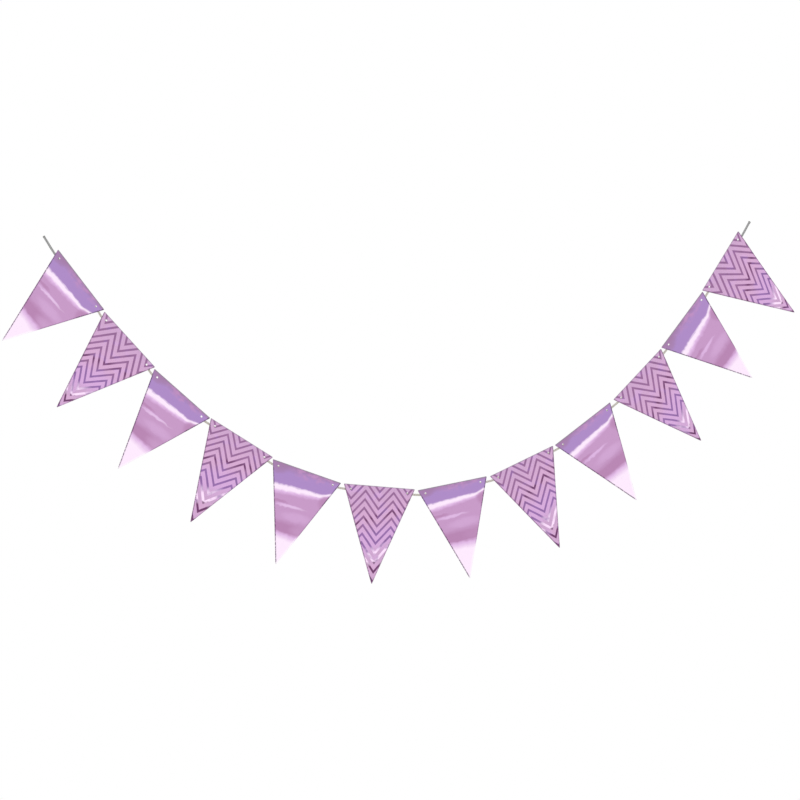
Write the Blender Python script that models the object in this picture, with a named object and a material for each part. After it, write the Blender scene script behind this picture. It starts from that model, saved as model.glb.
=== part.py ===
"""Foil pennant banner: twelve punched card pennants strung on one cord.

Metres, +Z up. The banner hangs in the XZ plane with its front towards -Y.
The origin is the left free end of the cord, on the cord's axis, where the
cord is tied or hooked up. The cord runs close behind the cards all the way,
across the lower rim of the punched hole near each top corner.
"""

import math
from collections import namedtuple

import bmesh
import bpy
from mathutils import Vector

# ---------------------------------------------------------------- sizes
PENNANT_W = 0.150        # top edge of a card
PENNANT_H = 0.200        # top edge to tip
CARD_T = 0.001           # thickness of the card solid
TOP_ROUND = 0.0014       # radius of the two top corners
TIP_ROUND = 0.0009       # radius of the tip
ROUND_STEPS = 3          # straight pieces in each rounded corner
HOLE_D = 0.004           # punched hole
HOLE_SIDES = 16
HOLE_IN = 0.0155         # hole centre from the corner, along the top edge
HOLE_DOWN = 0.0096       # hole centre below the top edge
CORD_D = 0.0045
CORD_GAP = 0.0005        # behind the card, between it and the cord
NEAR_HOLE = 0.0060       # points of the cord either side of a hole
STIFF_STRIP = 0.016      # flat strip along the top edge that holds the holes
ROWS = 10                # bands between the strip and the tip of a card

# The free ends of the cord, in the frame of the first and last card:
# length past the card's corner, and height of the end below the top edge.
Tail = namedtuple("Tail", "past_corner below_top")
LEFT_TAIL = Tail(0.0384, 0.0065)
RIGHT_TAIL = Tail(0.0325, 0.0119)

# One row for each card, left to right. gap and step (mm) carry the corner of
# the card from the corner of the one before, along and square to its top edge;
# lean (degrees) is the slope of the top edge; belly and tip (mm) are how far
# the middle and the point of the card stand forward; cord (mm) is the depth of
# the cord's axis behind the card, below its top edge.
Card = namedtuple("Card", "name finish gap step lean belly tip cord")
CARDS = [
    Card("pennant_01_plain",   "plain",   0.0,  0.0, -52.2,  1.6,  3.0, 10.8),
    Card("pennant_02_chevron", "chevron", 2.5, -2.2, -47.3, -1.2,  1.5, 12.3),
    Card("pennant_03_plain",   "plain",   0.9, -3.2, -41.1,  1.8,  3.5, 12.8),
    Card("pennant_04_chevron", "chevron", 0.9,  0.8, -31.9, -1.5, -1.0, 11.8),
    Card("pennant_05_plain",   "plain",   0.7, -3.6, -19.3,  2.0,  2.5, 11.1),
    Card("pennant_06_chevron", "chevron", 5.6, -0.3,  -5.0, -1.0,  2.0, 11.0),
    Card("pennant_07_plain",   "plain",   4.8, -3.1,  10.7,  1.6,  3.5, 11.7),
    Card("pennant_08_chevron", "chevron", 6.0, -3.0,  24.7, -1.4, -1.5, 11.5),
    Card("pennant_09_plain",   "plain",   3.4, -1.7,  36.4,  1.9,  3.0, 11.6),
    Card("pennant_10_chevron", "chevron", 8.6, -1.3,  45.4, -1.1,  1.0, 12.3),
    Card("pennant_11_plain",   "plain",   1.7,  1.1,  52.1,  1.7,  2.5, 13.3),
    Card("pennant_12_chevron", "chevron", 0.9,  1.8,  57.3, -1.3,  1.5, 13.7),
]

# Finish of each kind of piece: colour (linear), metallic, roughness.
Finish = namedtuple("Finish", "label colour metallic roughness")
FINISHES = {
    "plain": Finish("lilac_mirror_foil", (0.52, 0.28, 0.58, 1.0), 0.9, 0.18),
    "chevron": Finish("orchid_chevron_card", (0.66, 0.36, 0.66, 1.0), 0.1, 0.45),
    "cord": Finish("grey_cord", (0.27, 0.27, 0.25, 1.0), 0.0, 0.85),
}

CARD_Y = -(CORD_D / 2 + CORD_GAP + CARD_T / 2)   # middle of the card's thickness


# ---------------------------------------------------------------- scene
for old in list(bpy.data.objects):
    bpy.data.objects.remove(old, do_unlink=True)

parts = bpy.data.collections.new("pennant_banner")
bpy.context.scene.collection.children.link(parts)


def make_material(finish):
    """Principled material for one kind of piece."""
    m = bpy.data.materials.new(finish.label)
    m.use_nodes = True
    b = m.node_tree.nodes["Principled BSDF"]
    b.inputs["Base Color"].default_value = finish.colour
    b.inputs["Metallic"].default_value = finish.metallic
    b.inputs["Roughness"].default_value = finish.roughness
    return m


MATERIALS = {kind: make_material(f) for kind, f in FINISHES.items()}


def along(lean):
    """Unit vector along a top edge that slopes by lean degrees."""
    a = math.radians(lean)
    return Vector((math.cos(a), 0.0, math.sin(a)))


def down(lean):
    """Unit vector from a top edge towards the tip."""
    a = math.radians(lean)
    return Vector((math.sin(a), 0.0, -math.cos(a)))


# ---------------------------------------------------------------- layout
def hang(cards):
    """The top left corner of every card, in the plane of the cord's axis."""
    first = cards[0]
    corner = along(first.lean) * LEFT_TAIL.past_corner - down(first.lean) * LEFT_TAIL.below_top
    corners = [corner]
    for before, card in zip(cards, cards[1:]):
        corner = corner + along(before.lean) * PENNANT_W
        corner = corner + along(card.lean) * card.gap / 1000 - down(card.lean) * card.step / 1000
        corners.append(corner)
    return corners


CORNERS = hang(CARDS)


# ---------------------------------------------------------------- cards
def ring(centre_x, centre_z, radius, sides):
    """Corners of a round hole, as a closed outline."""
    turn = 2 * math.pi / sides
    return [(centre_x + radius * math.cos(k * turn), centre_z + radius * math.sin(k * turn))
            for k in range(sides)]


def rounded(corners):
    """Outline through (x, z, radius) corners, each turned on its own arc."""
    outline = []
    for k, (x, z, radius) in enumerate(corners):
        here = Vector((x, z))
        before = Vector(corners[k - 1][:2]) - here
        after = Vector(corners[(k + 1) % len(corners)][:2]) - here
        before.normalize()
        after.normalize()
        half = before.angle(after) / 2
        centre = here + (before + after).normalized() * radius / math.sin(half)
        start = here + before * radius / math.tan(half) - centre
        end = here + after * radius / math.tan(half) - centre
        for step in range(ROUND_STEPS + 1):
            arm = start.lerp(end, step / ROUND_STEPS).normalized() * radius
            outline.append(tuple(centre + arm))
    return outline


def flat_card(name):
    """Closed flat sheet with its two punched holes, as a mesh: x along the
    top edge from its middle, z up from the top edge, thickness about y = 0."""
    outlines = [
        rounded([(-PENNANT_W / 2, 0.0, TOP_ROUND), (0.0, -PENNANT_H, TIP_ROUND),
                 (PENNANT_W / 2, 0.0, TOP_ROUND)]),
        ring(-PENNANT_W / 2 + HOLE_IN, -HOLE_DOWN, HOLE_D / 2, HOLE_SIDES),
        ring(PENNANT_W / 2 - HOLE_IN, -HOLE_DOWN, HOLE_D / 2, HOLE_SIDES),
    ]
    curve = bpy.data.curves.new(name + "_outline", "CURVE")
    curve.dimensions = "2D"
    curve.fill_mode = "BOTH"
    curve.extrude = CARD_T / 2
    for outline in outlines:
        spline = curve.splines.new("POLY")
        spline.points.add(len(outline) - 1)
        for point, (x, z) in zip(spline.points, outline):
            point.co = (x, z, 0.0, 1.0)
        spline.use_cyclic_u = True
    shape = bpy.data.objects.new(name + "_outline", curve)
    shape.rotation_euler = (math.radians(90), 0.0, 0.0)
    parts.objects.link(shape)
    bpy.context.view_layer.update()
    graph = bpy.context.evaluated_depsgraph_get()
    mesh = bpy.data.meshes.new_from_object(shape.evaluated_get(graph))
    mesh.transform(shape.matrix_world)
    bpy.data.objects.remove(shape, do_unlink=True)
    bpy.data.curves.remove(curve)
    mesh.name = name
    return mesh


def forward(depth, card):
    """How far the sheet stands forward, in metres, at a depth below its top
    edge. The strip with the holes is flat, so both terms start with no slope."""
    t = max(0.0, (depth - STIFF_STRIP) / (PENNANT_H - STIFF_STRIP))
    belly = 16 * t * t * (1 - t) * (1 - t)
    return (card.belly * belly + card.tip * t * t) / 1000


def bend(mesh, card):
    """Cuts the flat sheet into bands across its height and bends it."""
    bm = bmesh.new()
    bm.from_mesh(mesh)
    bmesh.ops.remove_doubles(bm, verts=bm.verts, dist=0.00002)
    for k in range(ROWS):
        depth = STIFF_STRIP + (PENNANT_H - STIFF_STRIP) * k / ROWS
        everything = bm.verts[:] + bm.edges[:] + bm.faces[:]
        bmesh.ops.bisect_plane(bm, geom=everything, dist=0.000001,
                               plane_co=(0, 0, -depth), plane_no=(0, 0, 1))
    bmesh.ops.triangulate(bm, faces=bm.faces[:])
    for v in bm.verts:
        v.co.y -= forward(-v.co.z, card)
    bmesh.ops.recalc_face_normals(bm, faces=bm.faces[:])
    bm.to_mesh(mesh)
    bm.free()
    return mesh


frame = bpy.data.objects.new("banner_frame", None)
parts.objects.link(frame)

for card, corner in zip(CARDS, CORNERS):
    mesh = bend(flat_card(card.name), card)
    pennant = bpy.data.objects.new(card.name, mesh)
    middle = corner + along(card.lean) * PENNANT_W / 2
    pennant.location = (middle.x, CARD_Y, middle.z)
    pennant.rotation_euler = (0.0, -math.radians(card.lean), 0.0)
    pennant.data.materials.append(MATERIALS[card.finish])
    pennant.parent = frame
    parts.objects.link(pennant)


# ---------------------------------------------------------------- cord
def on_card(index, x, depth):
    """A point of the cord's plane, x along a card's top edge from its left
    corner and depth below that edge."""
    lean = CARDS[index].lean
    return CORNERS[index] + along(lean) * x + down(lean) * depth


def hermite(a, b, ta, tb, u):
    """Cubic from a to b with end tangents ta and tb, at u from 0 to 1."""
    return (a * (2 * u**3 - 3 * u**2 + 1) + ta * (u**3 - 2 * u**2 + u)
            + b * (-2 * u**3 + 3 * u**2) + tb * (u**3 - u**2))


def smooth_route(knots):
    """Samples a smooth curve through (point, direction) knots about every
    millimetre. Each stretch is a cubic whose end tangents follow the knots."""
    line = [knots[0][0]]
    for (a, da), (b, db) in zip(knots, knots[1:]):
        span = (b - a).length
        steps = max(2, math.ceil(span / 0.001))
        for k in range(1, steps + 1):
            line.append(hermite(a, b, da * span, db * span, k / steps))
    return line


def cord_knots():
    """The cord's route: its left end, both holes of every card, its right end."""
    last = len(CARDS) - 1
    left = on_card(0, -LEFT_TAIL.past_corner, LEFT_TAIL.below_top)
    right = on_card(last, PENNANT_W + RIGHT_TAIL.past_corner, RIGHT_TAIL.below_top)
    knots = []
    for i, card in enumerate(CARDS):
        for x in (HOLE_IN, PENNANT_W - HOLE_IN):
            knots.append((on_card(i, x, card.cord / 1000), along(card.lean)))
    first, final = knots[0][0], knots[-1][0]
    knots.insert(0, (left, (first - left).normalized()))
    knots.append((right, (right - final).normalized()))
    return knots


def cord_points():
    """Points for the tube: both ends, and a point at each hole and on either
    side of it, read from the smooth route."""
    knots = cord_knots()
    line = smooth_route(knots)
    run = [0.0]
    for a, b in zip(line, line[1:]):
        run.append(run[-1] + (b - a).length)

    def at(s):
        k = max(1, next((i for i, r in enumerate(run) if r >= s), len(run) - 1))
        share = (s - run[k - 1]) / max(run[k] - run[k - 1], 1e-9)
        return line[k - 1].lerp(line[k], min(max(share, 0.0), 1.0))

    stations = [0.0]                    # distances along the cord
    for point, _ in knots[1:-1]:
        nearest = min(range(len(line)), key=lambda i: (line[i] - point).length)
        s = run[nearest]
        stations += [s - NEAR_HOLE, s, s + NEAR_HOLE]
    stations.append(run[-1])
    return [at(s) for s in stations]


points = cord_points()
curve = bpy.data.curves.new("cord", "CURVE")
curve.dimensions = "3D"
curve.bevel_depth = CORD_D / 2
curve.bevel_resolution = 2
curve.use_fill_caps = True
spline = curve.splines.new("POLY")
spline.points.add(len(points) - 1)
for target, p in zip(spline.points, points):
    target.co = (p.x, p.y, p.z, 1.0)
cord = bpy.data.objects.new("cord", curve)
cord.data.materials.append(MATERIALS["cord"])
cord.parent = frame
parts.objects.link(cord)
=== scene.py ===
"""Foil pennant banner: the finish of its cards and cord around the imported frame.

Metres, +Z up. The banner hangs in the XZ plane with its front towards -Y.
Twelve triangular cards hang on one grey twisted cord, which runs close behind
them, across the lower rim of the two holes punched in every card. Odd cards
are laminated with mirror foil; even cards are satin card hot-stamped with
foil chevrons.
"""

import math
from collections import namedtuple

import bpy
from mathutils import Matrix, Vector
from mathutils.geometry import delaunay_2d_cdt


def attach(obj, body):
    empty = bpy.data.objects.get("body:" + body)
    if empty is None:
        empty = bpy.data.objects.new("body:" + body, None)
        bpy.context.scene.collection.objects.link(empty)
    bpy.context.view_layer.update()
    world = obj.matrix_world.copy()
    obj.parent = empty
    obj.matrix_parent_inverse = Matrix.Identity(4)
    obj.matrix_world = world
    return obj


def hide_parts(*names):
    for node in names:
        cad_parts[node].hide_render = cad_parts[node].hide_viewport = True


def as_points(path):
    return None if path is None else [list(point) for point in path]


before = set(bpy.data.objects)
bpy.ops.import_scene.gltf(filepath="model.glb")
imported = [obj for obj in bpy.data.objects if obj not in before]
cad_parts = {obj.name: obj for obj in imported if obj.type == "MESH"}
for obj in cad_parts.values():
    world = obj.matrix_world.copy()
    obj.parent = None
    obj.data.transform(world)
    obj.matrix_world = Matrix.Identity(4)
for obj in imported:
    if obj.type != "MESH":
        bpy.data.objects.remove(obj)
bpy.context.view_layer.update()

scene = bpy.context.scene
scene.view_settings.view_transform = "Standard"

# ---------------------------------------------------------------- sizes
PENNANT_W = 0.150        # top edge of a card
PENNANT_H = 0.200        # top edge to tip
TOP_ROUND = 0.0014       # radius of the two top corners
TIP_ROUND = 0.0009       # radius of the tip
HOLE_D = 0.004           # punched hole
HOLE_IN = 0.0155         # hole centre from the corner, along the top edge
HOLE_DOWN = 0.0096       # hole centre below the top edge
CORD_D = 0.0045
STIFF_STRIP = 0.016      # flat strip along the top edge that holds the holes
SHEET_T = 0.0005         # thickness of the laminated card
SHEET_Y = -0.0031        # middle of its thickness

Tail = namedtuple("Tail", "past_corner below_top")
LEFT_TAIL = Tail(0.0384, 0.0065)
RIGHT_TAIL = Tail(0.0325, 0.0119)

# One row for each card, left to right. gap, step (mm) and lean (degrees) hang
# the card from the one before; belly and tip (mm) are its bend, and cord (mm)
# the depth of the cord's axis behind it. skew and stretch say how its finish,
# the chevron print and the painted reflection bands alike, is set on it: skew
# widens the finish towards the right corner, stretch towards the tip.
Card = namedtuple("Card", "name finish gap step lean belly tip cord skew stretch")
CARDS = [
    Card("pennant_01_plain",   "plain",   0.0,  0.0, -52.2,  1.6,  3.0, 10.8, 1.0, 1.0),
    Card("pennant_02_chevron", "chevron", 2.5, -2.2, -47.3, -1.2,  1.5, 12.3, 1.0, 1.2),
    Card("pennant_03_plain",   "plain",   0.9, -3.2, -41.1,  1.8,  3.5, 12.8, 1.0, 1.0),
    Card("pennant_04_chevron", "chevron", 0.9,  0.8, -31.9, -1.5, -1.0, 11.8, 1.0, 0.9),
    Card("pennant_05_plain",   "plain",   0.7, -3.6, -19.3,  2.0,  2.5, 11.1, 1.0, 1.2),
    Card("pennant_06_chevron", "chevron", 5.6, -0.3,  -5.0, -1.0,  2.0, 11.0, 1.0, 1.0),
    Card("pennant_07_plain",   "plain",   4.8, -3.1,  10.7,  1.6,  3.5, 11.7, 1.0, 0.9),
    Card("pennant_08_chevron", "chevron", 6.0, -3.0,  24.7, -1.4, -1.5, 11.5, 1.0, 1.0),
    Card("pennant_09_plain",   "plain",   3.4, -1.7,  36.4,  1.9,  3.0, 11.6, 1.0, 0.9),
    Card("pennant_10_chevron", "chevron", 8.6, -1.3,  45.4, -1.1,  1.0, 12.3, 1.0, 1.2),
    Card("pennant_11_plain",   "plain",   1.7,  1.1,  52.1,  1.7,  2.5, 13.3, 1.0, 1.2),
    Card("pennant_12_chevron", "chevron", 0.9,  1.8,  57.3, -1.3,  1.5, 13.7, 1.1, 1.4),
]

# ---------------------------------------------------------------- camera
YAW = math.radians(14.76)
AIM = Vector((0.7269, -0.00325, -0.3239))
DISTANCE = 5.722
camera_data = bpy.data.cameras.new("camera")
camera_data.lens = 126.3
camera_data.sensor_width = 36.0
camera_data.clip_end = 100.0
camera = bpy.data.objects.new("camera", camera_data)
camera.location = AIM - DISTANCE * Vector((math.sin(YAW), math.cos(YAW), 0.0))
camera.rotation_euler = (math.radians(90), 0.0, -YAW)
scene.collection.objects.link(camera)
scene.camera = camera


# ---------------------------------------------------------------- layout
def along(lean):
    """Unit vector along a top edge that slopes by lean degrees."""
    a = math.radians(lean)
    return Vector((math.cos(a), 0.0, math.sin(a)))


def down(lean):
    """Unit vector from a top edge towards the tip."""
    a = math.radians(lean)
    return Vector((math.sin(a), 0.0, -math.cos(a)))


def hang(cards):
    """The top left corner of every card, in the plane of the cord's axis."""
    first = cards[0]
    corner = along(first.lean) * LEFT_TAIL.past_corner - down(first.lean) * LEFT_TAIL.below_top
    corners = [corner]
    for before, card in zip(cards, cards[1:]):
        corner = corner + along(before.lean) * PENNANT_W
        corner = corner + along(card.lean) * card.gap / 1000 - down(card.lean) * card.step / 1000
        corners.append(corner)
    return corners


CORNERS = hang(CARDS)


def smooth(value, low, high):
    """Smooth step from 0 at low to 1 at high."""
    t = min(max((value - low) / (high - low), 0.0), 1.0)
    return t * t * (3 - 2 * t)


# ---------------------------------------------------------------- shader help
def tone(r, g, b):
    """Display colour, 0 to 255 a channel, as the linear colour of a shader."""
    def linear(c):
        c /= 255
        return c / 12.92 if c <= 0.04045 else ((c + 0.055) / 1.055) ** 2.4
    return (linear(r), linear(g), linear(b), 1.0)


class Graph:
    """Short calls for building one material's node tree."""

    def __init__(self, name):
        self.material = bpy.data.materials.new(name)
        self.material.use_nodes = True
        self.nodes = self.material.node_tree.nodes
        self.links = self.material.node_tree.links
        self.shader = self.nodes["Principled BSDF"]

    def put(self, socket, value):
        if isinstance(value, bpy.types.NodeSocket):
            self.links.new(value, socket)
        elif value is not None:
            socket.default_value = value

    def set(self, **values):
        for key, value in values.items():
            self.put(self.shader.inputs[key.replace("_", " ")], value)

    def data(self, name):
        """The three numbers stored at each point under this name."""
        source = self.nodes.new("ShaderNodeAttribute")
        source.attribute_name = name
        split = self.nodes.new("ShaderNodeSeparateXYZ")
        self.links.new(source.outputs["Vector"], split.inputs[0])
        return split.outputs[0], split.outputs[1], split.outputs[2]

    def math(self, operation, a, b=None, c=None):
        node = self.nodes.new("ShaderNodeMath")
        node.operation = operation
        for socket, value in zip(node.inputs, (a, b, c)):
            self.put(socket, value)
        return node.outputs[0]

    def vector(self, x, y, z=0.0):
        node = self.nodes.new("ShaderNodeCombineXYZ")
        for socket, value in zip(node.inputs, (x, y, z)):
            self.put(socket, value)
        return node.outputs[0]

    def step(self, value, low, high, start=0.0, end=1.0):
        """Smooth step from start to end as value goes from low to high."""
        node = self.nodes.new("ShaderNodeMapRange")
        node.interpolation_type = "SMOOTHSTEP"
        for socket, v in zip(node.inputs, (value, low, high, start, end)):
            self.put(socket, v)
        return node.outputs[0]

    def noise(self, where, scale, detail=2.0, rough=0.5):
        """Noise about 0.5, features about 1/scale of the unit of where."""
        node = self.nodes.new("ShaderNodeTexNoise")
        node.noise_dimensions = "3D"
        self.links.new(where, node.inputs["Vector"])
        node.inputs["Scale"].default_value = scale
        node.inputs["Detail"].default_value = detail
        node.inputs["Roughness"].default_value = rough
        return node.outputs[0]

    def wobble(self, where, scale, amount, detail=2.0):
        """Noise from about -amount to +amount."""
        n = self.noise(where, scale, detail)
        return self.math("MULTIPLY", self.math("SUBTRACT", n, 0.5), amount * 2)

    def ramp(self, value, stops, way="LINEAR"):
        node = self.nodes.new("ShaderNodeValToRGB")
        node.color_ramp.interpolation = way
        points = node.color_ramp.elements
        points[0].position, points[0].color = stops[0]
        points[1].position, points[1].color = stops[-1]
        for position, colour in stops[1:-1]:
            points.new(position).color = colour
        self.put(node.inputs[0], value)
        return node.outputs[0]

    def mix(self, share, a, b, way="MIX"):
        node = self.nodes.new("ShaderNodeMix")
        node.data_type = "RGBA"
        node.blend_type = way
        node.clamp_factor = True
        self.put(node.inputs[0], share)
        self.put(node.inputs[6], a)
        self.put(node.inputs[7], b)
        return node.outputs[2]

    def brighten(self, colour, factor):
        """Colour times a number that varies over the surface."""
        node = self.nodes.new("ShaderNodeVectorMath")
        node.operation = "SCALE"
        self.put(node.inputs[0], colour)
        self.put(node.inputs[3], factor)
        return node.outputs[0]

    def patch(self, u, v, cx, cy, wide, high, tilt):
        """Soft oval, 1 at its centre and 0 past its rim. Sizes are half
        widths; tilt turns it, in degrees, rising to the right."""
        a = math.radians(tilt)
        du = self.math("SUBTRACT", u, cx)
        dv = self.math("SUBTRACT", v, cy)
        p = self.math("ADD", self.math("MULTIPLY", du, math.cos(a) / wide),
                      self.math("MULTIPLY", dv, -math.sin(a) / wide))
        q = self.math("ADD", self.math("MULTIPLY", du, math.sin(a) / high),
                      self.math("MULTIPLY", dv, math.cos(a) / high))
        far = self.math("ADD", self.math("MULTIPLY", p, p), self.math("MULTIPLY", q, q))
        return self.step(far, 0.0, 1.0, 1.0, 0.0)

    def bump(self, height, distance, strength=1.0, under=None):
        node = self.nodes.new("ShaderNodeBump")
        node.inputs["Strength"].default_value = strength
        node.inputs["Distance"].default_value = distance
        self.put(node.inputs["Height"], height)
        if under is not None:
            self.links.new(under, node.inputs["Normal"])
        return node.outputs[0]


# ---------------------------------------------------------------- palette
# The few tones that both finishes are mixed from. Most tones of the foil and of the stamped lines are painted light
# and shade: reflections of a mirror surface, painted into its colour.
PAINTED_SHADE_DARK = tone(165, 125, 165)      # foil, darkest painted shade
VIOLET = tone(175, 140, 200)     # foil, cool
MAUVE = tone(200, 155, 200)      # foil, its own middle tone
PAINTED_SHADE = tone(185, 135, 180)       # foil, painted shade
LILAC = tone(225, 185, 230)      # foil, lit
GLARE = tone(255, 235, 255)      # foil, glaring
ROSE_HIGHLIGHT = tone(195, 145, 195)       # painted pinkish highlights of the foil, in blotches
BLANK = tone(255, 250, 255)      # foil, burnt out along a lit edge
INK = tone(155, 110, 155)        # stamped line
# The next three tones: painted shade, a painted cool reflection and a painted glare on the stamped line's foil.
INK_SHADE = tone(115, 65, 110)
INK_COOL = tone(150, 110, 170)
INK_SHINE = tone(255, 225, 255)
ORCHID = tone(215, 170, 210)     # satin ground between the lines
# The next two tones: the satin ground with painted shade, and with a painted cool reflection.
ORCHID_SHADED = tone(205, 165, 205)
ORCHID_COOL = tone(215, 170, 220)
# Painted shade along the cards' cut edges, in three tones.
RIM_SHADE_DARK = tone(80, 55, 85)      # the darkest of them
RIM_SHADE_MAUVE = tone(110, 80, 110)
RIM_SHADE_GREY = tone(145, 140, 150)

# ---------------------------------------------------------------- finishes
# Soft bands of painted reflection on the mirror foil, bright and dark, from top
# edge to tip. left, centre and right are a band's depth in mm below the top edge
# at 20, 75 and 130 mm across, so that the bands lean and fan out as reflections
# in the bent sheet would.
Band = namedtuple("Band", "left centre right colour")
FOIL_BANDS = [
    Band(0, 0, 0, PAINTED_SHADE_DARK),
    Band(14, 12, 8, VIOLET),
    Band(35, 31, 30, VIOLET),
    Band(39, 35, 33, GLARE),
    Band(46, 40, 35, GLARE),
    Band(50, 44, 37, LILAC),
    Band(56, 50, 41, MAUVE),
    Band(100, 98, 95, MAUVE),
    Band(109, 108, 104, PAINTED_SHADE),
    Band(122, 123, 121, PAINTED_SHADE),
    Band(128, 129, 128, LILAC),
    Band(140, 142, 144, GLARE),
    Band(200, 200, 200, GLARE),
]

# The first bright streak, a painted highlight, turns up like a tick towards the
# right edge: how far it is lifted, across which stretch, and the depths that are
# lifted with it.
TICK_LIFT, TICK_FROM, TICK_TO = 8.0, 116.0, 144.0
TICK_ABOVE, TICK_BELOW = (8.0, 20.0), (42.0, 64.0)

# Soft ovals of painted shade and highlight laid over the bands, in mm across and below the top edge.
Oval = namedtuple("Oval", "across below wide high tilt colour share")
FOIL_OVALS = [
    Oval(18, 10, 25, 12, 10, PAINTED_SHADE_DARK, 0.6),
    Oval(132, 45, 16, 17, 40, PAINTED_SHADE, 0.8),
    Oval(36, 66, 26, 4, 3, PAINTED_SHADE, 0.8),
    Oval(60, 71, 40, 4, 5, LILAC, 0.9),
    Oval(85, 88, 45, 12, 4, LILAC, 0.35),
]

# On a card that leans to the left the right end of the deep band is lit, and
# the core of the second streak glares: how much on an upright card, and how
# much more for each degree of lean.
LIT_OVALS = [
    Oval(112, 114, 42, 16, 0, LILAC, 1.0),
    Oval(70, 71, 42, 3, 5, GLARE, 0.6),
]
LIT_UPRIGHT, LIT_A_DEGREE = 0.15, 0.005

# The painted reflection bands of the chevron card, light and shade: line is
# the foil of the chevrons, card the satin ground between them.
Zone = namedtuple("Zone", "left centre right line card")
CHEVRON_ZONES = [
    Zone(0, 0, 0, INK, ORCHID_SHADED),
    Zone(80, 52, 36, INK, ORCHID),
    Zone(87, 61, 44, INK_SHADE, ORCHID),
    Zone(94, 72, 54, INK, ORCHID),
    Zone(108, 95, 75, INK_COOL, ORCHID_COOL),
    Zone(130, 120, 90, INK_COOL, ORCHID_COOL),
    Zone(146, 136, 106, INK_SHINE, ORCHID_SHADED),
    Zone(156, 151, 124, INK_SHINE, ORCHID_SHADED),
    Zone(167, 163, 145, INK_SHADE, ORCHID),
    Zone(200, 200, 200, INK_SHADE, ORCHID_SHADED),
]
# Two small dark ovals of painted shade on the lines near the tip.
CHEVRON_OVALS = [
    Oval(76, 156, 7, 3, 0, INK_SHADE, 0.8),
    Oval(84, 150, 4, 2, 20, INK_SHADE, 0.5),
]

# The chevrons, in mm: one valley line at each card's middle, peaks either side.
VALLEY_ACROSS = 76.5
HALF_PERIOD = 29.5
FIRST_VALLEY = 11.5
CHEVRON_PITCH = 17.5
CHEVRON_SLOPE = 1.2
LINE_HALF = 2.0
SHINE_SPREAD = 0.4       # the brightest lines glare a little past their edges
OPENS_BELOW = 115.0      # below this depth the pitch opens towards the tip
OPENS_BY = 0.10


def band_place(across, depth, rows):
    """Where a point of the finish lies in its table of painted reflection
    bands, as the depth that the same band has at the middle of the card.
    All in mm."""
    a = (across - 75.0) / 55.0
    low = 0.0
    if rows is FOIL_BANDS:
        depth += (TICK_LIFT * smooth(across, TICK_FROM, TICK_TO)
                  * smooth(depth, *TICK_ABOVE) * (1 - smooth(depth, *TICK_BELOW)))
    for above, below in zip(rows, rows[1:]):
        high = edge_of(below, a)
        if depth <= high or below is rows[-1]:
            share = (depth - low) / max(high - low, 0.05)
            return above.centre + (below.centre - above.centre) * share
        low = high
    return depth


def edge_of(row, a):
    """Depth of a row at a, -1 at the left, 0 at the middle and 1 at the right."""
    tilt = (row.right - row.left) / 2
    bow = (row.right + row.left) / 2 - row.centre
    return row.centre + tilt * a + bow * a * a


def stops(rows, key):
    return [(row.centre / 200.0, getattr(row, key)) for row in rows]


# The thin dark line of painted shade along a card's cut edges, and a painted
# glare down the foil's lower right edge, a row for each stretch: the edge, the
# depths in mm where it fades in and out, its width in mm, its colour and its
# share over the finish.
Line = namedtuple("Line", "edge starts full fades ends wide colour share")
FOIL_LINES = [
    Line("top", -10, -8, 20, 30, 2.0, RIM_SHADE_GREY, 0.9),
    Line("left", 0, 20, 205, 210, 2.0, RIM_SHADE_DARK, 0.9),
    Line("right", -5, 0, 50, 70, 2.0, RIM_SHADE_DARK, 0.9),
    Line("right", 50, 70, 120, 135, 1.5, RIM_SHADE_MAUVE, 0.7),
    Line("right", 125, 150, 205, 210, 3.0, BLANK, 0.8),
]
CHEVRON_LINES = [
    Line("top", -10, -8, 20, 30, 1.5, RIM_SHADE_GREY, 0.8),
    Line("left", -5, 0, 205, 210, 2.0, RIM_SHADE_MAUVE, 0.8),
    Line("right", -5, 0, 50, 70, 2.0, RIM_SHADE_MAUVE, 0.9),
    Line("right", 50, 70, 205, 210, 1.5, RIM_SHADE_MAUVE, 0.6),
]


def edge_lines(g, colour, lines):
    """Draws the rows of a table of edge lines, painted shade and glare, a little broken, over a colour."""
    near = dict(zip(("top", "left", "right"), g.data("edges")))
    x, depth, seed = g.data("card")
    place = g.vector(x, depth, seed)
    rough = g.wobble(place, 0.35, 0.5)
    broken = g.step(g.noise(place, 0.42, 1.0), 0.36, 0.56, 0.35, 1.0)
    for line in lines:
        mask = g.step(g.math("ADD", near[line.edge], rough), line.wide - 0.5, line.wide + 0.5, 1.0, 0.0)
        mask = g.math("MULTIPLY", mask, g.step(depth, line.starts, line.full, 0.0, line.share))
        mask = g.math("MULTIPLY", mask, g.step(depth, line.fades, line.ends, 1.0, 0.0))
        colour = g.mix(g.math("MULTIPLY", mask, broken), colour, line.colour)
    return colour


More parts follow.
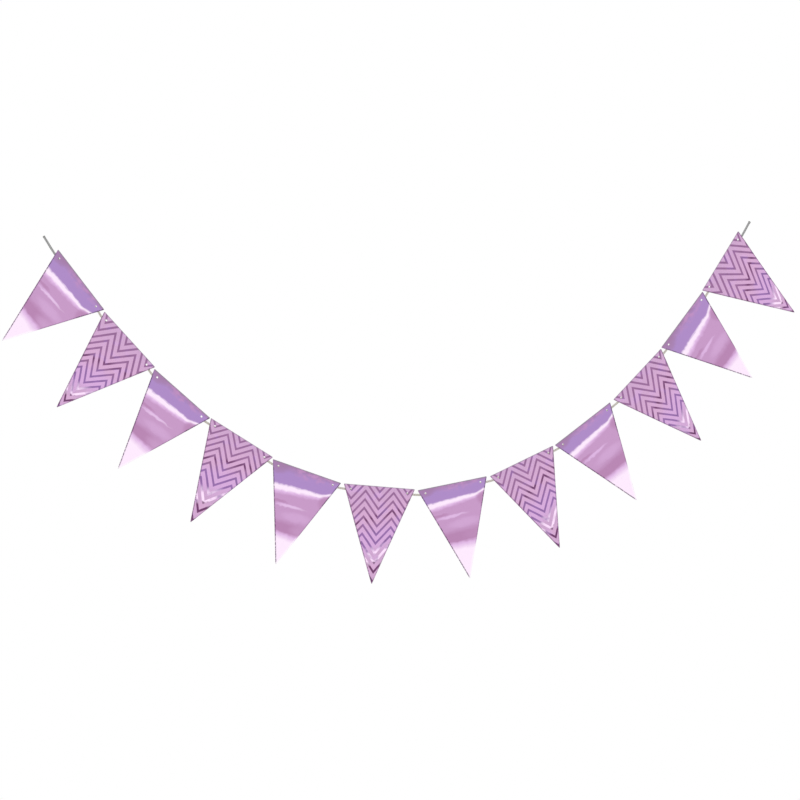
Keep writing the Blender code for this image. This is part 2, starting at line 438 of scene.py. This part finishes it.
def mirror_foil():
    """Lilac mirror foil laminated on card: soft bright and dark bands of
    painted reflection, with painted highlights and shade over them, a
    slight orange peel, and a fine drawn grain."""
    g = Graph("lilac_mirror_foil")
    u, v, t = g.data("pattern_and_reflection")
    x, d, seed = g.data("card")
    place = g.vector(x, d, seed)
    drawn = g.vector(g.math("MULTIPLY", u, 0.045), g.math("MULTIPLY", v, 0.28))
    wavy = g.vector(g.math("MULTIPLY", u, 0.10), g.math("MULTIPLY", v, 0.045))
    kinked = g.vector(g.math("MULTIPLY", u, 0.10), g.math("MULTIPLY", v, 0.09), seed)
    ragged = g.math("ADD", g.wobble(drawn, 1.0, 1.8, 3.0), g.math(
        "ADD", g.wobble(wavy, 1.0, 1.9, 3.0), g.wobble(kinked, 1.0, 1.4, 0.0)))
    colour = g.ramp(g.math("DIVIDE", g.math("ADD", t, ragged), 200.0), stops(FOIL_BANDS, "colour"))
    # Pinkish highlights painted in blotches over the upper part of the foil.
    rose_highlight_blotch = g.step(g.noise(g.vector(g.math("MULTIPLY", u, 0.07), g.math("MULTIPLY", v, 0.13), seed), 1.0, 2.0),
                    0.38, 0.66)
    upper = g.math("MULTIPLY", g.patch(u, v, 92.0, 4.0, 62.0, 15.0, 3.0), 0.9)
    colour = g.mix(g.math("MULTIPLY", rose_highlight_blotch, upper), colour, ROSE_HIGHLIGHT)
    lifted = g.math("ADD", v, g.math("MULTIPLY", ragged, 1.1))
    for oval in FOIL_OVALS:
        mask = g.patch(u, lifted, oval.across, oval.below, oval.wide, oval.high, oval.tilt)
        colour = g.mix(g.math("MULTIPLY", mask, oval.share), colour, oval.colour)
    _, _, lit = g.data("rim")
    for oval in LIT_OVALS:
        mask = g.patch(u, lifted, oval.across, oval.below, oval.wide, oval.high, oval.tilt)
        share = g.math("MULTIPLY", lit, oval.share)
        colour = g.mix(g.math("MULTIPLY", mask, share), colour, oval.colour)
    grain = g.math("ADD", g.wobble(place, 0.9, 0.022), g.wobble(drawn, 3.4, 0.030))
    colour = g.brighten(colour, g.math("ADD", 1.0, grain))
    colour = edge_lines(g, colour, FOIL_LINES)
    rough = g.math("ADD", 0.17, g.wobble(place, 0.25, 0.05))
    peel = g.noise(place, 0.55, 2.0)
    waves = g.noise(drawn, 1.1, 1.0)
    normal = g.bump(peel, 0.00004, 0.35, g.bump(waves, 0.0006, 0.30))
    g.set(Base_Color=colour, Metallic=0.94, Roughness=rough, Normal=normal)
    g.shader.inputs["Coat Weight"].default_value = 0.12
    g.shader.inputs["Coat Roughness"].default_value = 0.08
    return g.material


def chevron_card():
    """Orchid satin card with chevrons hot-stamped in foil; both carry painted
    bands of reflected light and shade.
    """
    g = Graph("orchid_chevron_card")
    u, v, t = g.data("pattern_and_reflection")
    x, d, seed = g.data("card")
    place = g.vector(x, d, seed)
    past = g.math("MAXIMUM", g.math("SUBTRACT", v, OPENS_BELOW), 0.0)
    depth = g.math("SUBTRACT", v, g.math("MULTIPLY", past, OPENS_BY))
    fold = g.math("PINGPONG", g.math("SUBTRACT", u, VALLEY_ACROSS), HALF_PERIOD)
    level = g.math("ADD", depth, g.math("MULTIPLY", fold, CHEVRON_SLOPE))
    turn = g.math("DIVIDE", g.math("SUBTRACT", level, FIRST_VALLEY), CHEVRON_PITCH)
    off = g.math("ABSOLUTE", g.math("SUBTRACT", g.math("FRACT", g.math("ADD", turn, 0.5)), 0.5))
    square = CHEVRON_PITCH / math.sqrt(1 + CHEVRON_SLOPE ** 2)
    away = g.math("ADD", g.math("MULTIPLY", off, square), g.wobble(place, 0.6, 0.16))
    drawn = g.vector(g.math("MULTIPLY", u, 0.10), g.math("MULTIPLY", v, 0.10))
    soft = g.math("DIVIDE", g.math("ADD", t, g.wobble(drawn, 1.0, 2.5)), 200.0)
    shiny = g.math("MULTIPLY", g.step(soft, 0.63, 0.68), g.step(soft, 0.755, 0.785, 1.0, 0.0))
    swollen = g.math("SUBTRACT", away, g.math("MULTIPLY", shiny, SHINE_SPREAD))
    stamped = g.step(swollen, LINE_HALF - 0.35, LINE_HALF + 0.35, 1.0, 0.0)

    line = g.ramp(soft, stops(CHEVRON_ZONES, "line"))
    for oval in CHEVRON_OVALS:
        mask = g.patch(u, v, oval.across, oval.below, oval.wide, oval.high, oval.tilt)
        line = g.mix(g.math("MULTIPLY", mask, oval.share), line, oval.colour)
    ground = g.ramp(soft, stops(CHEVRON_ZONES, "card"))
    cool = g.math("MULTIPLY", g.step(g.noise(place, 0.05, 2.0), 0.50, 0.68), 0.7)
    line, ground = g.mix(cool, line, INK_COOL), g.mix(cool, ground, ORCHID_COOL)
    line = g.brighten(line, g.math("ADD", 1.0, g.math("ADD", g.wobble(place, 0.7, 0.08), g.wobble(place, 0.06, 0.22))))
    ground = g.brighten(ground, g.math("ADD", 1.0, g.math(
        "ADD", g.wobble(place, 0.8, 0.035), g.wobble(place, 0.12, 0.030))))
    colour = g.mix(stamped, ground, line)
    colour = edge_lines(g, colour, CHEVRON_LINES)

    fibre = g.noise(place, 2.2, 3.0, 0.6)
    rough = g.math("ADD", g.step(stamped, 0.0, 1.0, 0.42, 0.20), g.wobble(place, 0.5, 0.05))
    normal = g.bump(stamped, 0.00006, 0.5, g.bump(fibre, 0.00004, 0.25))
    g.set(Base_Color=colour, Metallic=g.step(stamped, 0.0, 1.0, 0.35, 0.92),
          Roughness=rough, Normal=normal)
    g.shader.inputs["Coat Weight"].default_value = 0.08
    g.shader.inputs["Coat Roughness"].default_value = 0.15
    return g.material


def card_back():
    """Uncoated back of the card: off-white with a faint lilac cast and fibres."""
    g = Graph("card_back")
    x, d, _ = g.data("card")
    place = g.vector(x, d)
    streak = g.vector(g.math("MULTIPLY", x, 0.16), g.math("MULTIPLY", d, 0.9))
    cloudy = g.math("ADD", 1.0, g.math("ADD", g.wobble(place, 0.06, 0.035), g.wobble(streak, 1.0, 0.018)))
    colour = g.brighten(g.mix(g.noise(place, 0.8, 4.0), tone(220, 210, 215), tone(230, 225, 225)), cloudy)
    normal = g.bump(g.noise(place, 2.6, 4.0, 0.65), 0.00006, 0.5)
    g.set(Base_Color=colour, Metallic=0.0, Roughness=g.math("ADD", 0.68, g.wobble(place, 0.7, 0.08)),
          Normal=normal)
    return g.material


def card_edge():
    """Cut edge: the pale core of the card, layered and a little grey."""
    g = Graph("card_edge")
    x, d, _ = g.data("card")
    place = g.vector(x, d)
    colour = g.mix(g.noise(place, 0.9, 3.0), tone(195, 180, 195), tone(225, 215, 220))
    g.set(Base_Color=colour, Metallic=0.0, Roughness=0.7,
          Normal=g.bump(g.noise(place, 3.0, 3.0), 0.00005, 0.6))
    return g.material


def grey_cord():
    """Twisted grey cord: painted shade in the grooves, with fine yarn fibres;
    painted lighter where it is strung along the cards; the sealed ends are
    darker."""
    g = Graph("grey_cord")
    run, turn, lobe = g.data("yarn")
    ends, _, _ = g.data("ends")
    strands = g.vector(g.math("MULTIPLY", run, 0.9), g.math("MULTIPLY", turn, 6.0), lobe)
    fibre = g.noise(strands, 1.6, 3.0, 0.6)
    # Painted shade darkens the grooves between the strands, and the stretch strung along the cards is painted lighter,
    # against the shade they cast on it.
    free = g.mix(lobe, tone(135, 135, 135), tone(185, 185, 185))
    strung_lightened = g.mix(lobe, tone(175, 170, 160), tone(220, 215, 205))
    colour = g.mix(g.step(ends, 46.0, 66.0), free, strung_lightened)
    colour = g.brighten(colour, g.math("ADD", 1.0, g.math("MULTIPLY", g.math("SUBTRACT", fibre, 0.5), 0.30)))
    colour = g.mix(g.step(ends, 0.8, 4.0, 0.75, 0.0), colour, tone(105, 105, 100))
    g.set(Base_Color=colour, Metallic=0.0, Roughness=0.82, Normal=g.bump(fibre, 0.00012, 0.6))
    g.shader.inputs["Sheen Weight"].default_value = 0.15
    g.shader.inputs["Sheen Roughness"].default_value = 0.5
    return g.material


FRONTS = {"plain": mirror_foil(), "chevron": chevron_card()}
BACK, EDGE, CORD = card_back(), card_edge(), grey_cord()

# ---------------------------------------------------------------- flat card
GRID = 2.2               # mm between points of the sheet
EDGE_STEP = 2.2
ARC_STEPS = 5
ROUNDED = 0.22           # mm over which the cut edge rounds off
ROUND_DROP = 0.10
HOLE_SEGMENTS = 36
LIP = (2.0, 2.2, 2.6, 3.4)   # rings round a hole, mm
LIP_PRESS = 0.12         # the punch presses the rim of the hole back, mm

W, H = PENNANT_W * 1000, PENNANT_H * 1000
SIDE = math.hypot(W / 2, H)
INRADIUS = W * H / (W + 2 * SIDE)
HOLES = [(-W / 2 + HOLE_IN * 1000, -HOLE_DOWN * 1000), (W / 2 - HOLE_IN * 1000, -HOLE_DOWN * 1000)]
Corner = namedtuple("Corner", "place centre radius start end reach")


def corner(place, before, after, radius):
    """A rounded corner: its arc's centre, radius, two ends and half angle."""
    a, b = (before - place).normalized(), (after - place).normalized()
    half = a.angle(b) / 2
    centre = place + (a + b).normalized() * radius / math.sin(half)
    return Corner(place, centre, radius, place + a * radius / math.tan(half),
                  place + b * radius / math.tan(half), math.pi / 2 - half)


TOP_LEFT, TIP, TOP_RIGHT = Vector((-W / 2, 0.0)), Vector((0.0, -H)), Vector((W / 2, 0.0))
ROUNDS = [corner(TOP_LEFT, TOP_RIGHT, TIP, TOP_ROUND * 1000),
          corner(TIP, TOP_LEFT, TOP_RIGHT, TIP_ROUND * 1000),
          corner(TOP_RIGHT, TIP, TOP_LEFT, TOP_ROUND * 1000)]


def outline(inset):
    """Points round the card, inset mm inside its cut edge."""
    share = (INRADIUS - inset) / INRADIUS
    middle = Vector((0.0, -INRADIUS))
    points = []
    for here, after in zip(ROUNDS, ROUNDS[1:] + ROUNDS[:1]):
        for k in range(ARC_STEPS):
            arm = (here.start - here.centre).lerp(here.end - here.centre, k / ARC_STEPS)
            points.append(here.centre + arm.normalized() * here.radius)
        count = round((after.start - here.end).length / EDGE_STEP)
        points += [here.end.lerp(after.start, k / count) for k in range(count)]
    return [middle + (p - middle) * share for p in points]


def distances(x, z):
    """Distance in mm from the top edge and from the left and right edges."""
    left = ((x + W / 2) * H + z * W / 2) / SIDE
    right = ((W / 2 - x) * H + z * W / 2) / SIDE
    return -z, left, right


def from_rim(x, z):
    """Distance in mm from the cut edge, round its corners too."""
    near = min(distances(x, z))
    for c in ROUNDS:
        arm = Vector((x, z)) - c.centre
        if arm.length > 1e-6 and arm.angle(c.place - c.centre) < c.reach:
            near = min(near, c.radius - arm.length)
    return near


def flat_sheet():
    """Points and triangles of the flat card with its holes, in mm, x from the
    middle of the top edge and z up from it."""
    points, lines = [], []

    def loop(ring):
        start = len(points)
        points.extend(ring)
        lines.extend((start + k, start + (k + 1) % len(ring)) for k in range(len(ring)))

    for inset in (0.0, ROUNDED, 0.9):
        loop(outline(inset))
    for cx, cz in HOLES:
        for radius in LIP:
            loop([Vector((cx + radius * math.cos(2 * math.pi * k / HOLE_SEGMENTS),
                          cz + radius * math.sin(2 * math.pi * k / HOLE_SEGMENTS)))
                  for k in range(HOLE_SEGMENTS)])
    rows = int(H / (GRID * 0.87))
    for r in range(rows):
        z = -1.6 - r * GRID * 0.87
        for c in range(-40, 41):
            x = (c + 0.5 * (r % 2)) * GRID
            if min(distances(x, z)) < 1.7:
                continue
            if any(math.hypot(x - cx, z - cz) < LIP[-1] + 0.8 for cx, cz in HOLES):
                continue
            points.append(Vector((x, z)))
    out, _, faces, _, _, _ = delaunay_2d_cdt(points, lines, [], 0, 1e-5)
    kept = []
    for face in faces:
        x = sum(out[i].x for i in face) / 3
        z = sum(out[i].y for i in face) / 3
        if all(math.hypot(x - cx, z - cz) > LIP[0] * 0.98 for cx, cz in HOLES):
            a, b, c = (out[i] for i in face)
            if (b.x - a.x) * (c.y - a.y) - (b.y - a.y) * (c.x - a.x) < 0:
                face = [face[0], face[2], face[1]]
            kept.append(tuple(face))
    return [(p.x, p.y) for p in out], kept


def rim_edges(faces):
    """The edges on the outline and round the holes, in face order."""
    seen = {}
    for f in faces:
        for a, b in zip(f, f[1:] + f[:1]):
            seen[(a, b)] = True
    return [e for e in seen if (e[1], e[0]) not in seen]


FLAT, TRIANGLES = flat_sheet()
RIM = rim_edges(TRIANGLES)


def forward(depth, card):
    """How far the sheet stands forward, in mm, at a depth in mm below its top
    edge. The strip with the holes is flat."""
    strip = STIFF_STRIP * 1000
    t = max(0.0, (depth - strip) / (H - strip))
    return card.belly * 16 * t * t * (1 - t) * (1 - t) + card.tip * t * t


def ripple(x, depth, index):
    """The card's slight unevenness, in mm: a long low wave across it and a
    curl of its long edges, fading out towards the strip with the holes."""
    fade = smooth(depth, STIFF_STRIP * 1000, 60.0)
    wave = math.sin(x / 21.0 + depth / 47.0 + 1.7 * index) * math.cos(depth / 33.0 + 0.9 * index)
    half = max(8.0, (H - depth) * W / (2 * H))
    curl = (x / half) ** 2 * math.sin(2.1 * index + 0.4) * 0.25
    return fade * (0.16 * wave + curl)


def pattern_and_reflection_place(x, z, card):
    """Place of a point in the finish, in mm across and below the top edge."""
    tip = -z / H
    right = (x + W / 2) / W - tip / 2
    left = 1.0 - tip - right
    right, tip = right / card.skew, tip / card.stretch
    total = left + right + tip
    return W * (right + tip / 2) / total, H * tip / total


def pennant_mesh(card, index):
    """The bent sheet: front, back and rounded cut edge, with the places that
    its finish reads stored at each point."""
    rows = FOIL_BANDS if card.finish == "plain" else CHEVRON_ZONES
    front, back, pattern_and_reflection_places, places, edges, rims = [], [], [], [], [], []
    for x, z in FLAT:
        rim = from_rim(x, z)
        y = -forward(-z, card) - ripple(x, -z, index)
        hole = min(math.hypot(x - cx, z - cz) for cx, cz in HOLES)
        y += LIP_PRESS * (1 - smooth(hole, LIP[0], LIP[-1]))
        drop = ROUND_DROP if rim < 0.03 or hole < LIP[0] + 0.02 else 0.0
        half = SHEET_T * 500 - drop
        front.append((x / 1000, (y - half) / 1000, z / 1000))
        back.append((x / 1000, (y + half) / 1000, z / 1000))
        u, v = pattern_and_reflection_place(x, z, card)
        pattern_and_reflection_places.append((u, v, band_place(u, v, rows)))
        places.append((x, -z, index * 37.0))
        edges.append(distances(x, z))
        rims.append((rim, hole - LIP[0], max(0.0, LIT_UPRIGHT - LIT_A_DEGREE * card.lean)))
    n = len(front)
    faces = list(TRIANGLES)
    faces += [(c + n, b + n, a + n) for a, b, c in TRIANGLES]
    faces += [(b, a, a + n, b + n) for a, b in RIM]
    mesh = bpy.data.meshes.new(card.name)
    mesh.from_pydata(front + back, [], faces)
    for name, rows in (("pattern_and_reflection", pattern_and_reflection_places), ("card", places), ("edges", edges), ("rim", rims)):
        store = mesh.attributes.new(name, "FLOAT_VECTOR", "POINT")
        store.data.foreach_set("vector", [c for row in rows + rows for c in row])
    for material in (FRONTS[card.finish], BACK, EDGE):
        mesh.materials.append(material)
    count = len(TRIANGLES)
    mesh.polygons.foreach_set("material_index", [0] * count + [1] * count + [2] * len(RIM))
    mesh.shade_smooth()
    mesh.set_sharp_from_angle(angle=math.radians(38))
    mesh.update()
    return mesh


# ---------------------------------------------------------------- cord
def on_card(index, x, depth):
    """A point of the cord's plane, x along a card's top edge from its left
    corner and depth below that edge."""
    lean = CARDS[index].lean
    return CORNERS[index] + along(lean) * x + down(lean) * depth


def hermite(a, b, ta, tb, u):
    """Cubic from a to b with end tangents ta and tb, at u from 0 to 1."""
    return (a * (2 * u**3 - 3 * u**2 + 1) + ta * (u**3 - 2 * u**2 + u)
            + b * (-2 * u**3 + 3 * u**2) + tb * (u**3 - u**2))


def cord_knots():
    """The cord's route: its left end, both holes of every card, its right end."""
    last = len(CARDS) - 1
    left = on_card(0, -LEFT_TAIL.past_corner, LEFT_TAIL.below_top)
    right = on_card(last, PENNANT_W + RIGHT_TAIL.past_corner, RIGHT_TAIL.below_top)
    knots = []
    for i, card in enumerate(CARDS):
        for x in (HOLE_IN, PENNANT_W - HOLE_IN):
            knots.append((on_card(i, x, card.cord / 1000), along(card.lean)))
    first, final = knots[0][0], knots[-1][0]
    knots.insert(0, (left, (first - left).normalized()))
    knots.append((right, (right - final).normalized()))
    return knots


CORD_STEP = 0.0008
STRANDS = 3
TWIST = 0.0130           # length of one full turn of the strands
CORD_SIDES = 24
SEAL_ROUND = 0.0011      # rounding of the sealed ends
SEAL_SWELL = 1.15        # the sealed ends, as a share of the cord's radius
STRUNG_SWELL = 1.06      # the tops of the strands
LOOSE_SWELL = 1.12       # the same at the loose ends, where the twist relaxes


def cord_route():
    """Points along the cord about every 0.8 mm and the distance to each."""
    knots = cord_knots()
    line = [knots[0][0]]
    for (a, da), (b, db) in zip(knots, knots[1:]):
        span = (b - a).length
        steps = max(2, math.ceil(span / CORD_STEP))
        for k in range(1, steps + 1):
            line.append(hermite(a, b, da * span, db * span, k / steps))
    run = [0.0]
    for a, b in zip(line, line[1:]):
        run.append(run[-1] + (b - a).length)
    return line, run


GROOVE = 0.88            # depth of the groove between two strands, same share


def lobe_height(angle):
    """Outer surface of the twisted strands at an angle, as a share of the
    radius: round over each strand, with a groove between two."""
    part = 2 * math.pi / STRANDS
    a = (angle + part / 2) % part - part / 2
    reach = 0.536 * math.cos(a) + math.sqrt(max(0.0, 0.2153 - (0.536 * math.sin(a)) ** 2))
    return max(reach, GROOVE)


def cord_mesh(line, run):
    total = run[-1]
    radius = CORD_D / 2
    verts, yarn, ends = [], [], []
    for i, (p, s) in enumerate(zip(line, run)):
        tangent = (line[min(i + 1, len(line) - 1)] - line[max(i - 1, 0)]).normalized()
        normal = (Vector((0, -1, 0)) - tangent * tangent.dot(Vector((0, -1, 0)))).normalized()
        side = tangent.cross(normal)
        near = min(s, total - s)
        cap = math.sqrt(max(0.0, 1 - (1 - min(near / SEAL_ROUND, 1.0)) ** 2))
        seal = smooth(near, 0.0015, 0.0050)
        fuller = LOOSE_SWELL + (STRUNG_SWELL - LOOSE_SWELL) * smooth(near, 0.030, 0.060)
        for k in range(CORD_SIDES):
            theta = 2 * math.pi * k / CORD_SIDES
            lobe = lobe_height(theta - 2 * math.pi * s / TWIST)
            swell = SEAL_SWELL * (1 - seal) + lobe * fuller * seal
            r = radius * swell * max(cap, 0.02)
            verts.append(p + (normal * math.cos(theta) + side * math.sin(theta)) * r)
            yarn.append((s * 1000, math.cos(theta), (lobe - GROOVE) / (1 - GROOVE)))
            ends.append((near * 1000, 0.0, 0.0))
    faces = []
    rings = len(line)
    for i in range(rings - 1):
        for k in range(CORD_SIDES):
            j = (k + 1) % CORD_SIDES
            a, b = i * CORD_SIDES, (i + 1) * CORD_SIDES
            faces.append((a + j, a + k, b + k, b + j))
    faces.append(tuple(range(CORD_SIDES)))
    faces.append(tuple(reversed(range((rings - 1) * CORD_SIDES, rings * CORD_SIDES))))
    mesh = bpy.data.meshes.new("cord_twisted")
    mesh.from_pydata(verts, [], faces)
    for name, rows in (("yarn", yarn), ("ends", ends)):
        store = mesh.attributes.new(name, "FLOAT_VECTOR", "POINT")
        store.data.foreach_set("vector", [c for row in rows for c in row])
    mesh.materials.append(CORD)
    mesh.shade_smooth()
    mesh.update()
    return mesh


cord_line, cord_run = cord_route()
cord = bpy.data.objects.new("cord_twisted", cord_mesh(cord_line, cord_run))
scene.collection.objects.link(cord)
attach(cord, "root")
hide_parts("cord")
tuple(cord_line[0])
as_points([tuple(p) for p in cord_line[::2]] + [tuple(cord_line[-1])])

# ---------------------------------------------------------------- pennants
for index, (card, corner) in enumerate(zip(CARDS, CORNERS)):
    middle = corner + along(card.lean) * PENNANT_W / 2
    mesh = pennant_mesh(card, index)
    mesh.transform(Matrix.Translation((middle.x, SHEET_Y, middle.z))
                   @ Matrix.Rotation(-math.radians(card.lean), 4, "Y"))
    piece = bpy.data.objects.new(card.name + "_sheet", mesh)
    scene.collection.objects.link(piece)
    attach(piece, "root")
    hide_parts(card.name)

# ---------------------------------------------------------------- studio
world = bpy.data.worlds.new("studio")
world.use_nodes = True
sky = world.node_tree.nodes["Background"]
sky.inputs["Color"].default_value = (1.0, 1.0, 1.0, 1.0)
sky.inputs["Strength"].default_value = 1.0
scene.world = world


def soft_light(name, place, size, power):
    """A large square lamp aimed at the middle of the banner."""
    lamp = bpy.data.lights.new(name, "AREA")
    lamp.shape = "SQUARE"
    lamp.size = size
    lamp.energy = power
    holder = bpy.data.objects.new(name, lamp)
    holder.location = place
    aim = AIM - Vector(place)
    holder.rotation_euler = aim.to_track_quat("-Z", "Y").to_euler()
    scene.collection.objects.link(holder)


soft_light("key_light", (-1.8, -3.2, 2.4), 2.2, 14.0)
soft_light("back_light", (2.6, 3.0, 1.8), 2.2, 10.0)

FLOOR_Z = -1.5
FLOOR_R = 2.0
floor_mesh = bpy.data.meshes.new("floor")
floor_mesh.from_pydata(
    [(AIM.x + FLOOR_R * math.cos(2 * math.pi * k / 96), FLOOR_R * math.sin(2 * math.pi * k / 96), FLOOR_Z)
     for k in range(96)], [], [tuple(range(96))])
floor = bpy.data.objects.new("floor", floor_mesh)
scene.collection.objects.link(floor)
paint = Graph("pale_floor")
paint.set(Base_Color=tone(236, 236, 236), Roughness=0.9)
floor_mesh.materials.append(paint.material)
